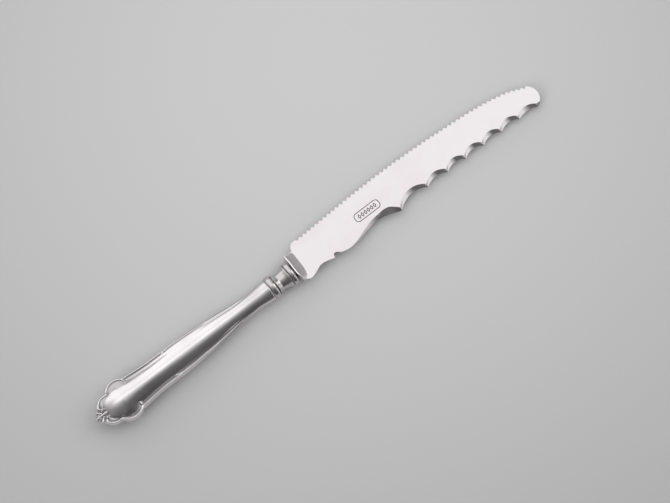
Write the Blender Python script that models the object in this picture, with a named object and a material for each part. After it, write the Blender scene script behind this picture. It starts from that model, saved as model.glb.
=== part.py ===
"""Tomato knife: a hollow silver handle and a steel blade with a saw back and a scalloped edge.

Metres. +X runs from the butt to the tip, +Y toward the saw back, +Z out of the ground face.
The handle's seam and the blade's middle plane share one level plane through the axis.
"""
import math

import bmesh
import bpy
from mathutils import Vector

# Lengths along the knife
HANDLE_LENGTH = 0.0824
FERRULE_LENGTH = 0.0112
BOLSTER_LENGTH = 0.0040
BLADE_LENGTH = 0.1122
TANG_LENGTH = 0.0580
SPIGOT_LENGTH = 0.0018

# Fits
FIT = 0.0003
SHEET = 0.00055

# Handle outline: half-widths, and where each lobe begins and ends behind the butt
LEAF_NOTCH_X = 0.0013
LEAF_NOTCH_Y = 0.0008
LEAF_RISE = 0.00035
SIDE_LEAF_RISE = 0.0006
REAR_LOBE_X = 0.0025
REAR_LOBE_Y = 0.0024
REAR_LOBE_RISE = 0.00135
LOBE_NOTCH_X = 0.0086
LOBE_NOTCH_Y = 0.00605
HEAD_RISE = 0.00195
SHOULDER_X = 0.0175
SHOULDER_HALF = 0.00725
WAIST_X = 0.0300
WAIST_HALF = 0.0064
SWELL_X = 0.0380
SWELL_HALF = 0.0064
TAPER_TO_MOUTH = 0.0254
TAPER_HALF = 0.0053
NECK_TO_MOUTH = 0.0089
NECK_HALF = 0.0038
MOUTH_HALF = 0.0045

# Handle height: half-thicknesses over the seam
HEAD_X = 0.0132
HEAD_CROWN = 0.0059
NAPE_X = 0.0250
NAPE_CROWN = 0.0051
SWELL_CROWN = 0.00465
TAPER_CROWN = 0.00385
NECK_CROWN = 0.00315
MOUTH_CROWN = 0.0040

# Border of the handle: a wall from the seam, a thread on it, a groove and the pillow inside it
HEAD_RIM = 0.0025
SWELL_RIM = 0.0024
TAPER_RIM = 0.0020
NECK_RIM = 0.0016
WALL_UPRIGHT = 0.0007
WALL_LEAN = 0.0008
THREAD_WIDTH = 0.0004
THREAD_MOST = 0.7
THREAD_DEPTH = 0.0001
GROOVE_DEPTH = 0.0002
PILLOW_STEP = 0.0002
PILLOW_NOSE_X = 0.0049
HEAD_BORDER = 0.0019
NOTCH_BORDER = 0.0010
SWELL_BORDER = 0.00195
TAPER_BORDER = 0.0016
NECK_BORDER = 0.0009
BORDER_FADE = 0.0090
BORDER_END = 0.0074
NAPE_PILLOW_HALF = 0.0048
PILLOW_EVEN = 0.6
RIDGE = 0.25
RIDGE_ROUND = 0.1

# Neck of the shells inside the ferrule
SPIGOT_HALF = 0.0033
SPIGOT_CROWN = 0.0029

# Ferrule: half-widths of its mouldings, flattened to an oval
FERRULE_OVAL = 0.90
REAR_BEAD_LENGTH = 0.0025
REAR_BEAD_HALF = 0.0048
REAR_BEAD_FOOT = 0.0041
COVE_REAR_HALF = 0.0043
COVE_THROAT = 0.0023
COVE_HALF = 0.00375
COVE_FLARE_TO_FRONT = 0.0014
COVE_FLARE_HALF = 0.0041
COVE_FRONT_HALF = 0.00475
FRONT_BEAD_LENGTH = 0.0013
FRONT_BEAD_HALF = 0.0051
FRONT_BEAD_FOOT = 0.0046
FRONT_NECK_LENGTH = 0.0006
FRONT_NECK_HALF = 0.0042
MOULDING_GROOVE = 0.00035

# Tang
TANG_HALF = 0.00145
TANG_END_HALF = 0.0010
TANG_THICKNESS = 0.0018
TANG_NOTCH = 0.0004
TANG_NOTCH_PITCH = 0.0050
TANG_NOTCH_COUNT = 3

# Bolster: thick and square on the back's side, rounded away on the edge's side
BOLSTER_TOP = 0.0066
BOLSTER_BOTTOM = 0.0053
BOLSTER_CROWN = 0.0038
BOLSTER_SQUARE = 4.5
BOLSTER_ROUND = 1.9
BOLSTER_RIM = 0.0005
BOLSTER_RIM_ROUND = 0.0001
BOLSTER_CUT_Y = 0.0015
BOLSTER_CUT = 0.0012
BOLSTER_LAP = 0.00001

# Blade plate, measured from the front of the bolster
BLADE_THICKNESS = 0.0012
HEEL_CORNER_RISE = 0.00055
BACK_FOOT = 0.0012
BACK_START_X = 0.0022
BACK_START_Y = 0.0091
BACK_CROWN_X = 0.0450
BACK_CROWN_Y = 0.0105
BACK_FALL_TO_TIP = 0.0272
BACK_FALL_Y = 0.0085
BACK_DROP_TO_TIP = 0.0112
BACK_DROP_Y = 0.0060
BACK_END_TO_TIP = 0.0023
BACK_END_Y = 0.0027
SAW_START_X = 0.0036
TOOTH_PITCH = 0.0020
TOOTH_DEPTH = 0.00085

# Edge, below the axis
EDGE_Y = 0.0053
EDGE_DROP = 0.0006
EDGE_END_TO_TIP = 0.0033
EDGE_END_Y = 0.00635
LAST_SCALLOP_DEPTH = 0.00105
SCALLOP_WIDTH = 0.0086
SCALLOP_DEPTH = 0.0015
SECOND_SCALLOP_WIDTH = 0.0096
FIRST_SCALLOP_WIDTH = 0.0134
FIRST_SCALLOP_DEPTH = 0.0024
SWEEP_END_X = 0.0430
SWEEP_END_Y = 0.00645
SWEEP_TOP_X = 0.0334
SWEEP_TOP_Y = 0.00372
BELLY_X = 0.0189
BELLY_Y = 0.0061
NICK_END_X = 0.0152
NICK_END_Y = 0.0055
NICK_RISE = 0.0012
SPUR_X = 0.0116
SPUR_Y = 0.0056
HOLLOW_X = 0.0063
HOLLOW_Y = 0.0044
HEEL_X = 0.0003
HEEL_Y = 0.0063
HEEL_FOOT_X = 0.0029
HEEL_FOOT_Y = 0.0047

# Grind: how far the ground face stands back from the edge
SCALLOP_GRIND = 0.00165
CUSP_GRIND = 0.0011
TIP_GRIND = 0.0006
SWEEP_GRIND = 0.00145
LIP_GRIND = 0.0028
LIP_TO_CUSP = 0.0035

# Facets
LEAF_STEPS = 3
SIDE_LEAF_STEPS = 4
REAR_LOBE_STEPS = 6
HEAD_STEPS = 8
SIDE_STEPS = 20
PILLOW_STEPS = 6
OVAL_STEPS = 32
BOLSTER_STEPS = 24
BEAD_STEPS = 6
COVE_STEPS = 8
HEEL_STEPS = 4
NICK_STEPS = 6
SWEEP_STEPS = 6
SCALLOP_STEPS = 8
TIP_STEPS = 14
CORNER_STEPS = 5
TOOTH_PATH_STEPS = 20

# Places along the axis that follow from the lengths
FERRULE_END_X = HANDLE_LENGTH + FERRULE_LENGTH
BOLSTER_X = FERRULE_END_X + FIT
BLADE_X = BOLSTER_X + BOLSTER_LENGTH
TANG_END_X = BOLSTER_X - TANG_LENGTH
SPIGOT_END_X = HANDLE_LENGTH + SPIGOT_LENGTH

OBJECT_NAME = "Tomato knife"


def smooth(nodes, x):
    """Height at x of a curve through the nodes, level at every peak and hollow."""
    steps = [(b[1] - a[1]) / (b[0] - a[0]) for a, b in zip(nodes, nodes[1:])]
    rates = [2 * a * b / (a + b) if a * b > 0 else 0.0 for a, b in zip(steps, steps[1:])]
    rates = [steps[0]] + rates + [steps[-1]]
    i = 0
    while i < len(steps) - 1 and x > nodes[i + 1][0]:
        i += 1
    span = nodes[i + 1][0] - nodes[i][0]
    t = (x - nodes[i][0]) / span
    rise = t * t * (3 - 2 * t)
    lean = t * (1 - t) * ((1 - t) * rates[i] - t * rates[i + 1])
    return nodes[i][1] * (1 - rise) + nodes[i + 1][1] * rise + span * lean


def ease(t):
    """0 below 0, 1 above 1 and a soft step between."""
    t = min(max(t, 0.0), 1.0)
    return t * t * (3 - 2 * t)


def arc(start, end, rise, count):
    """Points of a round arc from start to just before end, bulging by rise to the left."""
    chord = Vector(end) - Vector(start)
    half = chord.length / 2
    radius = (half * half + rise * rise) / (2 * rise)
    along = chord.normalized()
    left = Vector((-along.y, along.x))
    centre = (Vector(start) + Vector(end)) / 2 + left * (rise - radius)
    reach = math.asin(half / radius)
    turns = [reach * (2 * k / count - 1) for k in range(count)]
    return [tuple(centre + radius * (left * math.cos(a) + along * math.sin(a))) for a in turns]


def spread(start, end, count):
    """Evenly spaced values from start to just before end."""
    return [start + (end - start) * k / count for k in range(count)]


def surface(name, colour, roughness, metallic):
    material = bpy.data.materials.new(name)
    material.use_nodes = True
    shader = material.node_tree.nodes["Principled BSDF"]
    shader.inputs["Base Color"].default_value = (*colour, 1.0)
    shader.inputs["Roughness"].default_value = roughness
    shader.inputs["Metallic"].default_value = metallic
    return material


def add_object(name, mesh, collection, parent):
    thing = bpy.data.objects.new(name, mesh)
    collection.objects.link(thing)
    thing.parent = parent
    return thing


def finish_mesh(name, shape):
    bmesh.ops.recalc_face_normals(shape, faces=shape.faces)
    mesh = bpy.data.meshes.new(name)
    shape.to_mesh(mesh)
    shape.free()
    return mesh


def loft(name, rings):
    """A closed body through rings with equal numbers of points, capped at both ends."""
    shape = bmesh.new()
    rows = [[shape.verts.new(p) for p in ring] for ring in rings]
    for low, high in zip(rows, rows[1:]):
        for i in range(len(low)):
            shape.faces.new((low[i - 1], low[i], high[i], high[i - 1]))
    shape.faces.new(rows[0])
    shape.faces.new(rows[-1])
    return finish_mesh(name, shape)


def ribbed(name, ribs, levels):
    """A body whose ribs run from the seam to the crown, mirrored over the axis.

    levels (1,) gives the half over the seam, (-1,) the half under it, (1, -1) both as one body.
    """
    shape = bmesh.new()
    known = {}

    def vert(point, side, level):
        place = (point[0], point[1] * side, point[2] * level)
        key = tuple(round(value, 8) + 0.0 for value in place)
        if key not in known:
            known[key] = shape.verts.new(place)
        return known[key]

    for level in levels:
        for side in (1, -1):
            grid = [[vert(point, side, level) for point in rib] for rib in ribs]
            for a, b in zip(grid, grid[1:]):
                for j in range(len(a) - 1):
                    corners = list(dict.fromkeys((a[j], b[j], b[j + 1], a[j + 1])))
                    if len(corners) > 2:
                        shape.faces.new(corners)
    last = ribs[-1]
    cap = [vert(p, 1, levels[0]) for p in last] + [vert(p, -1, levels[0]) for p in last[-2::-1]]
    if len(levels) == 2:
        cap += [vert(p, -1, levels[1]) for p in last[1:]]
        cap += [vert(p, 1, levels[1]) for p in last[-2:0:-1]]
    else:
        seam = [vert(rib[0], 1, levels[0]) for rib in ribs]
        seam += [vert(rib[0], -1, levels[0]) for rib in reversed(ribs)]
        shape.faces.new(list(dict.fromkeys(seam)))
    shape.faces.new(cap)
    return finish_mesh(name, shape)


def combine(target, other, operation):
    step = target.modifiers.new(other.name, "BOOLEAN")
    step.operation = operation
    step.solver = "EXACT"
    step.object = other


# Handle

SIDE = (
    (SHOULDER_X, SHOULDER_HALF),
    (WAIST_X, WAIST_HALF),
    (SWELL_X, SWELL_HALF),
    (HANDLE_LENGTH - TAPER_TO_MOUTH, TAPER_HALF),
    (HANDLE_LENGTH - NECK_TO_MOUTH, NECK_HALF),
    (HANDLE_LENGTH, MOUTH_HALF),
)
HEAD_ARC = arc((LOBE_NOTCH_X, LOBE_NOTCH_Y), SIDE[0], HEAD_RISE, HEAD_STEPS)
HEAD_HALF = smooth(HEAD_ARC + [SIDE[0]], HEAD_X)
CROWN = (
    (HEAD_X, HEAD_CROWN),
    (NAPE_X, NAPE_CROWN),
    (SWELL_X, SWELL_CROWN),
    (HANDLE_LENGTH - TAPER_TO_MOUTH, TAPER_CROWN),
    (HANDLE_LENGTH - NECK_TO_MOUTH, NECK_CROWN),
    (HANDLE_LENGTH, MOUTH_CROWN),
)
RIM = (
    (HEAD_X, HEAD_RIM),
    (SWELL_X, SWELL_RIM),
    (HANDLE_LENGTH - TAPER_TO_MOUTH, TAPER_RIM),
    (HANDLE_LENGTH - NECK_TO_MOUTH, NECK_RIM),
    (HANDLE_LENGTH, NECK_RIM),
)
BORDER = (
    (HEAD_X, HEAD_BORDER),
    (SWELL_X, SWELL_BORDER),
    (HANDLE_LENGTH - TAPER_TO_MOUTH, TAPER_BORDER),
    (HANDLE_LENGTH - NECK_TO_MOUTH, NECK_BORDER),
    (HANDLE_LENGTH, NECK_BORDER),
)
PILLOW_SIDE = (
    (HEAD_X, HEAD_HALF - HEAD_BORDER),
    (NAPE_X, NAPE_PILLOW_HALF),
    (SWELL_X, SWELL_HALF - SWELL_BORDER),
    (HANDLE_LENGTH - TAPER_TO_MOUTH, TAPER_HALF - TAPER_BORDER),
    (HANDLE_LENGTH - NECK_TO_MOUTH, NECK_HALF - NECK_BORDER),
    (HANDLE_LENGTH, MOUTH_HALF - NECK_BORDER),
)


def handle_outline():
    """Half of the handle's plan, from the butt round the lobes of the head to the mouth."""
    butt = (0.0, 0.0)
    leaf = (LEAF_NOTCH_X, LEAF_NOTCH_Y)
    rear = (REAR_LOBE_X, REAR_LOBE_Y)
    points = arc(butt, leaf, LEAF_RISE, LEAF_STEPS)
    points += arc(leaf, rear, SIDE_LEAF_RISE, SIDE_LEAF_STEPS)
    points += arc(rear, HEAD_ARC[0], REAR_LOBE_RISE, REAR_LOBE_STEPS)
    points += HEAD_ARC
    sides = spread(SHOULDER_X, HANDLE_LENGTH, SIDE_STEPS) + [HANDLE_LENGTH]
    return points + [(x, smooth(SIDE, x)) for x in sides]


def pillow_foot(point):
    """The pillow's foot inward of a point of the outline, its top, and its reach without notches."""
    x, y = point
    if x > HEAD_X:
        return Vector((x, y - smooth(BORDER, x))), Vector((x, 0.0)), smooth(PILLOW_SIDE, x)
    top = Vector((HEAD_X, 0.0))
    away = Vector(point) - top
    most = away.length - NOTCH_BORDER
    away.normalize()
    even = 1 / math.hypot(away.x / (HEAD_X - PILLOW_NOSE_X), away.y / PILLOW_SIDE[0][1])
    return top + away * min(even, most), top, even


def pillow(foot, top, even, low, high, steps):
    """The rise from the pillow's foot to its top, with a soft ridge along the handle.

    The outline's notches show near the foot only. Farther in the pillow follows its even reach.
    """
    reach = (foot - top).length
    away = (foot - top) / reach
    rib = []
    for k in range(1, steps + 1):
        share = math.cos(math.pi / 2 * k / steps)
        near_foot = ease((share - PILLOW_EVEN) / (1 - PILLOW_EVEN))
        plan = top + away * share * (even + (reach - even) * near_foot)
        fall = math.hypot(share * away.y, RIDGE_ROUND) - RIDGE_ROUND
        rise = (1 - share * share) * (1 - RIDGE * fall)
        rib.append((plan.x, plan.y, low + (high - low) * rise))
    return rib


def oval_rib(x, half, crown, like):
    """A plain quarter oval with its points spaced as they are along the rib it follows."""
    walked = [0.0]
    for a, b in zip(like, like[1:]):
        walked.append(walked[-1] + math.dist(a, b))
    turns = [math.pi / 2 * step / walked[-1] for step in walked]
    return [(x, half * math.cos(a), crown * math.sin(a)) for a in turns]


def blend(rib, plain, share):
    """Rib where share is 1, plain where it is 0."""
    return [tuple(Vector(p).lerp(Vector(r), share)) for r, p in zip(rib, plain)]


def border_share(x):
    """1 along the bordered handle, falling to 0 where the border dies out before the mouth."""
    return ease((HANDLE_LENGTH - BORDER_END - x) / BORDER_FADE)


def outer_ribs():
    """Seam, wall, thread, groove and pillow of the shells, then the step to the spigot."""
    ribs = []
    for point in handle_outline():
        foot, top, even = pillow_foot(point)
        edge = Vector(point)
        reach = (foot - edge).length
        inward = (foot - edge) / reach
        crown = smooth(CROWN, max(point[0], HEAD_X))
        rim = smooth(RIM, max(point[0], HEAD_X))
        groove = rim - GROOVE_DEPTH
        thread = min(THREAD_WIDTH, THREAD_MOST * (reach - WALL_LEAN))
        thread_end = WALL_LEAN + thread
        side = (
            (0.0, 0.0),
            (0.0, WALL_UPRIGHT),
            (WALL_LEAN, rim - THREAD_DEPTH),
            (WALL_LEAN + thread / 2, rim),
            (thread_end, groove),
            (max(reach - PILLOW_STEP, (reach + thread_end) / 2), groove),
            (reach, groove + PILLOW_STEP),
        )
        plan = [edge + inward * step[0] for step in side]
        rib = [(p.x, p.y, step[1]) for p, step in zip(plan, side)]
        rib += pillow(foot, top, even, groove + PILLOW_STEP, crown, PILLOW_STEPS)
        share = border_share(point[0])
        if share < 1:
            rib = blend(rib, oval_rib(point[0], point[1], crown, rib), share)
        ribs.append(rib)
    ribs.append(oval_rib(HANDLE_LENGTH, SPIGOT_HALF, SPIGOT_CROWN, ribs[-1]))
    ribs.append(oval_rib(SPIGOT_END_X, SPIGOT_HALF, SPIGOT_CROWN, ribs[-1]))
    return ribs


def inner_ribs(inset, end_x):
    """The same form inset by the sheet, without the thread: the cavity, or the core in it."""
    ribs = []
    half = SPIGOT_HALF - inset
    neck = SPIGOT_CROWN - inset
    for point in handle_outline():
        foot, top, even = pillow_foot(point)
        edge = Vector(point)
        reach = (foot - edge).length
        inward = (foot - edge) / reach
        flange = WALL_LEAN + inset + max(reach - SWELL_BORDER, 0.0)
        base = foot + inward * inset
        wall = edge + inward * min(flange, reach + inset)
        shelf = smooth(RIM, max(point[0], HEAD_X)) - GROOVE_DEPTH - inset
        rib = [(wall.x, wall.y, 0.0), (wall.x, wall.y, shelf), (base.x, base.y, shelf)]
        crown = smooth(CROWN, max(point[0], HEAD_X)) - inset
        rib += pillow(base, top, even - inset, shelf, crown, PILLOW_STEPS - 1)
        share = border_share(point[0])
        if share < 1:
            rib = blend(rib, oval_rib(point[0], half, neck, rib), share)
        ribs.append(rib)
    ribs.append(oval_rib(end_x, half, neck, ribs[-1]))
    return ribs


# Ferrule

def bead(x, length, foot, crest):
    """Profile of a half-round moulding from foot up to crest and back, without its last point."""
    turns = [math.pi * k / BEAD_STEPS for k in range(BEAD_STEPS)]
    rise = crest - foot
    return [(x + length * (1 - math.cos(a)) / 2, foot + rise * math.sin(a)) for a in turns]


def ferrule_profile():
    """Half-width of the ferrule along the axis: bead, groove, cove, groove, bead and neck."""
    cove_x = HANDLE_LENGTH + REAR_BEAD_LENGTH + MOULDING_GROOVE
    neck_x = FERRULE_END_X - FRONT_NECK_LENGTH
    bead_x = neck_x - FRONT_BEAD_LENGTH
    cove_end = bead_x - MOULDING_GROOVE
    cove = (
        (cove_x, COVE_REAR_HALF),
        (cove_x + COVE_THROAT, COVE_HALF),
        (cove_end - COVE_FLARE_TO_FRONT, COVE_FLARE_HALF),
        (cove_end, COVE_FRONT_HALF),
    )
    profile = bead(HANDLE_LENGTH, REAR_BEAD_LENGTH, REAR_BEAD_FOOT, REAR_BEAD_HALF)
    profile += [(cove_x - MOULDING_GROOVE, REAR_BEAD_FOOT), (cove_x - MOULDING_GROOVE / 2, COVE_HALF)]
    stations = spread(cove_x, cove_end, COVE_STEPS) + [cove_end]
    profile += [(x, smooth(cove, x)) for x in stations]
    profile += [(cove_end + MOULDING_GROOVE / 2, FRONT_BEAD_FOOT - MOULDING_GROOVE / 2)]
    profile += bead(bead_x, FRONT_BEAD_LENGTH, FRONT_BEAD_FOOT, FRONT_BEAD_HALF)
    profile += [(neck_x, FRONT_BEAD_FOOT), (neck_x, FRONT_NECK_HALF)]
    return profile + [(FERRULE_END_X, FRONT_NECK_HALF)]


def oval_ring(x, half, crown):
    turns = [2 * math.pi * k / OVAL_STEPS for k in range(OVAL_STEPS)]
    return [(x, half * math.cos(a), crown * math.sin(a)) for a in turns]


# Blade

def tang_half(x):
    """Half-width of the tang, tapering from the bolster to its end."""
    share = (BOLSTER_X - x) / TANG_LENGTH
    return TANG_HALF + (TANG_END_HALF - TANG_HALF) * share


def tang_rings(root_x, end_x, grow, notched):
    """Plan of the tang at its two flat sides, grown by a clearance for the slots it sits in."""
    side = [(end_x, tang_half(end_x) + grow)]
    if notched:
        for k in range(1, TANG_NOTCH_COUNT + 1):
            x = end_x + TANG_NOTCH_PITCH * k
            wide = tang_half(x) + grow
            side.append((x - TANG_NOTCH, wide))
            side.append((x, wide - TANG_NOTCH))
            side.append((x + TANG_NOTCH, wide))
    side.append((root_x, TANG_HALF + grow))
    plan = side + [(x, -y) for x, y in reversed(side)]
    level = TANG_THICKNESS / 2 + grow
    return [[(x, y, z) for x, y in plan] for z in (-level, level)]


def bolster_rings():
    """Slices of the bolster from the back's side to the edge's: rim, slope and foot in the plate.

    Toward the back the section is square. Toward the edge it is round and its rear is cut away.
    """
    foot = BLADE_THICKNESS / 2 - BOLSTER_LAP
    slope = (BOLSTER_CROWN - foot) / (BOLSTER_LENGTH - BOLSTER_RIM)
    rings = []
    for k in range(1, BOLSTER_STEPS):
        turn = math.pi * k / BOLSTER_STEPS
        upward = math.cos(turn) >= 0
        reach = BOLSTER_TOP if upward else BOLSTER_BOTTOM
        power = BOLSTER_SQUARE if upward else BOLSTER_ROUND
        y = math.copysign(reach * abs(math.cos(turn)) ** (2 / power), math.cos(turn))
        tall = max(BOLSTER_CROWN * math.sin(turn) ** (2 / power), BLADE_THICKNESS)
        cut = max(-BOLSTER_CUT_Y - y, 0.0) / (BOLSTER_BOTTOM - BOLSTER_CUT_Y)
        rear = BOLSTER_X + BOLSTER_CUT * cut * cut
        slope_x = rear + BOLSTER_RIM
        side = (
            (rear, tall - BOLSTER_RIM_ROUND),
            (rear + BOLSTER_RIM_ROUND, tall),
            (slope_x, tall),
            (slope_x + (tall - foot) / slope, foot),
            (BLADE_X + BOLSTER_RIM, foot - BOLSTER_LAP),
        )
        rings.append([(x, y, z) for x, z in side] + [(x, y, -z) for x, z in reversed(side)])
    return rings


def edge_points():
    """The edge from the heel to the tip: place on the flat side and the grind's set-back."""
    heel = (
        (-HEEL_FOOT_X, -HEEL_FOOT_Y),
        (-HEEL_X, -HEEL_Y),
        (HOLLOW_X, -HOLLOW_Y),
        (SPUR_X, -SPUR_Y),
    )
    sweep = (
        (NICK_END_X, -NICK_END_Y),
        (BELLY_X, -BELLY_Y),
        (SWEEP_TOP_X, -SWEEP_TOP_Y),
        (SWEEP_END_X, -SWEEP_END_Y),
    )
    sweep_grind = (
        (BELLY_X, 0.0),
        (SWEEP_TOP_X, SWEEP_GRIND),
        (SWEEP_END_X - LIP_TO_CUSP, LIP_GRIND),
        (SWEEP_END_X, CUSP_GRIND),
    )
    points = []
    for low, high in zip(heel, heel[1:]):
        points += [(x, smooth(heel, x), 0.0) for x in spread(low[0], high[0], HEEL_STEPS)]
    points += [(x, y, 0.0) for x, y in arc(heel[-1], sweep[0], NICK_RISE, NICK_STEPS)]
    points += [(x, smooth(sweep, x), 0.0) for x in spread(NICK_END_X, BELLY_X, SWEEP_STEPS)]
    for low, high in zip(sweep[1:], sweep[2:]):
        stations = spread(low[0], high[0], SWEEP_STEPS)
        points += [(x, smooth(sweep, x), smooth(sweep_grind, x)) for x in stations]
    end = (BLADE_LENGTH - EDGE_END_TO_TIP, -EDGE_END_Y)
    run = end[0] - SWEEP_END_X - FIRST_SCALLOP_WIDTH - SECOND_SCALLOP_WIDTH
    count = max(round(run / SCALLOP_WIDTH), 1)
    widths = [FIRST_SCALLOP_WIDTH, SECOND_SCALLOP_WIDTH] + [run / count] * count
    depths = [FIRST_SCALLOP_DEPTH] + [SCALLOP_DEPTH] * count + [LAST_SCALLOP_DEPTH]
    start = sweep[-1]
    for k, (width, depth) in enumerate(zip(widths, depths)):
        last = k > count
        stop = end if last else (start[0] + width, -EDGE_Y - EDGE_DROP * k / count)
        stop_grind = TIP_GRIND if last else CUSP_GRIND
        for i, (x, y) in enumerate(arc(start, stop, depth, SCALLOP_STEPS)):
            share = i / SCALLOP_STEPS
            cusp = CUSP_GRIND + (stop_grind - CUSP_GRIND) * share
            points.append((x, y, cusp + (SCALLOP_GRIND - CUSP_GRIND) * math.sin(math.pi * share)))
        start = stop
    return points


def tip_points():
    """The rounded end of the blade, where the ground face runs straight on and out."""
    start = (BLADE_LENGTH - EDGE_END_TO_TIP, -EDGE_END_Y)
    stop = (BLADE_LENGTH - BACK_END_TO_TIP, BACK_END_Y)
    chord_x = BLADE_LENGTH - (EDGE_END_TO_TIP + BACK_END_TO_TIP) / 2
    ends = arc(start, stop, chord_x - BLADE_LENGTH, TIP_STEPS)
    return [(x, y, max(TIP_GRIND - EDGE_END_Y - y, 0.0)) for x, y in ends]


def back_points():
    """The saw teeth along the back, from the tip to the heel."""
    end = BLADE_LENGTH - BACK_END_TO_TIP
    curve = (
        (BACK_START_X, BACK_START_Y),
        (BACK_CROWN_X, BACK_CROWN_Y),
        (BLADE_LENGTH - BACK_FALL_TO_TIP, BACK_FALL_Y),
        (BLADE_LENGTH - BACK_DROP_TO_TIP, BACK_DROP_Y),
        (end, BACK_END_Y),
    )
    fine = max(round((end - SAW_START_X) / TOOTH_PITCH), 1) * TOOTH_PATH_STEPS
    path = [(x, smooth(curve, x)) for x in spread(end, SAW_START_X, fine) + [SAW_START_X]]
    walked = [0.0]
    for a, b in zip(path, path[1:]):
        walked.append(walked[-1] + math.dist(a, b))
    count = max(round(walked[-1] / TOOTH_PITCH), 1)
    points = []
    for k in range(2 * count + 1):
        place = walked[-1] * k / (2 * count)
        i = min(range(len(walked)), key=lambda n: abs(walked[n] - place))
        x, y = path[i]
        points.append((x, y - TOOTH_DEPTH * (k % 2), 0.0))
    corner = (BACK_START_X, BACK_START_Y)
    foot = (0.0, BOLSTER_TOP)
    points += [(x, y, 0.0) for x, y in arc(corner, foot, -HEEL_CORNER_RISE, CORNER_STEPS)]
    return points + [(*foot, 0.0), (-BACK_FOOT, BOLSTER_TOP - BACK_FOOT, 0.0)]


def plate_rings():
    """The blade's plan on its flat side and, set back along the grind, on its ground side."""
    plan = edge_points() + tip_points() + back_points()
    low = [(BLADE_X + x, y, -BLADE_THICKNESS / 2) for x, y, grind in plan]
    high = [(BLADE_X + x, y + grind, BLADE_THICKNESS / 2) for x, y, grind in plan]
    return [low, high]


# Assembly

for old in list(bpy.data.objects):
    bpy.data.objects.remove(old)

parts = bpy.data.collections.new(OBJECT_NAME)
cutters = bpy.data.collections.new(OBJECT_NAME + " cutters")
bpy.context.scene.collection.children.link(parts)
bpy.context.scene.collection.children.link(cutters)
root = add_object("knife_root", None, parts, None)

steel = surface("polished stainless steel", (0.74, 0.74, 0.75), 0.22, 1.0)
silver = surface("polished silver", (0.86, 0.84, 0.80), 0.18, 1.0)
cement = surface("filler cement", (0.36, 0.33, 0.29), 0.9, 0.0)


def add_part(name, mesh, material):
    mesh.materials.append(material)
    return add_object(name, mesh, parts, root)


def add_cutter(name, mesh):
    cutter = add_object(name, mesh, cutters, root)
    cutter.hide_render = True
    cutter.display_type = "WIRE"
    return cutter


blade = add_part("blade", loft("blade", plate_rings()), steel)
combine(blade, add_cutter("bolster", loft("bolster", bolster_rings())), "UNION")
tang_root = BOLSTER_X + BOLSTER_LENGTH / 2
tang = tang_rings(tang_root, TANG_END_X, 0.0, True)
combine(blade, add_cutter("tang", loft("tang", tang)), "UNION")

hollow = inner_ribs(SHEET, SPIGOT_END_X + FIT)
cavity = add_cutter("handle cavity", ribbed("handle cavity", hollow, (1, -1)))
for level, name in ((1, "handle_front_shell"), (-1, "handle_back_shell")):
    shell = add_part(name, ribbed(name, outer_ribs(), (level,)), silver)
    combine(shell, cavity, "DIFFERENCE")

filling = inner_ribs(SHEET + FIT, SPIGOT_END_X)
core = add_part("cement_core", ribbed("cement_core", filling, (1, -1)), cement)
slot = tang_rings(BOLSTER_X, TANG_END_X - FIT, FIT, False)
tang_slot = add_cutter("tang slot", loft("tang slot", slot))
combine(core, tang_slot, "DIFFERENCE")

rings = [oval_ring(x, half, half * FERRULE_OVAL) for x, half in ferrule_profile()]
ferrule = add_part("ferrule", loft("ferrule", rings), silver)
socket_half = SPIGOT_HALF + FIT
socket_crown = SPIGOT_CROWN + FIT
socket = [oval_ring(x, socket_half, socket_crown) for x in (HANDLE_LENGTH - FIT, SPIGOT_END_X + FIT)]
combine(ferrule, add_cutter("ferrule socket", loft("ferrule socket", socket)), "DIFFERENCE")
combine(ferrule, tang_slot, "DIFFERENCE")

# The origin is the middle of the bounding box, at its lowest level
bpy.context.view_layer.update()
depsgraph = bpy.context.evaluated_depsgraph_get()
corners = []
for thing in parts.objects:
    if thing.type == "MESH":
        corners += [Vector(corner) for corner in thing.evaluated_get(depsgraph).bound_box]
low = Vector(min(corner[axis] for corner in corners) for axis in range(3))
high = Vector(max(corner[axis] for corner in corners) for axis in range(3))
root.location = (-(low.x + high.x) / 2, -(low.y + high.y) / 2, -low.z)
bpy.context.view_layer.update()
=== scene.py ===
import math

import bmesh
import bpy
import numpy as np
from mathutils import Matrix, Vector


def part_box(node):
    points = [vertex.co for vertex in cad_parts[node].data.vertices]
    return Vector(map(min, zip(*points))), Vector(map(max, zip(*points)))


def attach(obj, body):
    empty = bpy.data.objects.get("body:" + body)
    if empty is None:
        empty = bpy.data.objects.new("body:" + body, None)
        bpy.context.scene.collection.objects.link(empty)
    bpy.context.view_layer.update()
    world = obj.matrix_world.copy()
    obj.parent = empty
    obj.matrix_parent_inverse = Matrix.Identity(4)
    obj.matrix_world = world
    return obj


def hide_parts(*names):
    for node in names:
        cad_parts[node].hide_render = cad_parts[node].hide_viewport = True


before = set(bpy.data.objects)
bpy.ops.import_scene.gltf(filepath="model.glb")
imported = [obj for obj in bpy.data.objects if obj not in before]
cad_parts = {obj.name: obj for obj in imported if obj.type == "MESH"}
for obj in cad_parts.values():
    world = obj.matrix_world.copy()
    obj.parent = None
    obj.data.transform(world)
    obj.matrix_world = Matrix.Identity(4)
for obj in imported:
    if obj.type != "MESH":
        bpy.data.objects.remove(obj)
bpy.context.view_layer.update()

# Lengths of the knife are millimetres in its own frame: x from the butt to the tip, y toward the
# saw back, z out of the ground face, with the handle's seam at z = 0. A curve is a row of pairs,
# an x and the value there. The floor, the lights and the camera are in metres.
MM = 0.001

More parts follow.
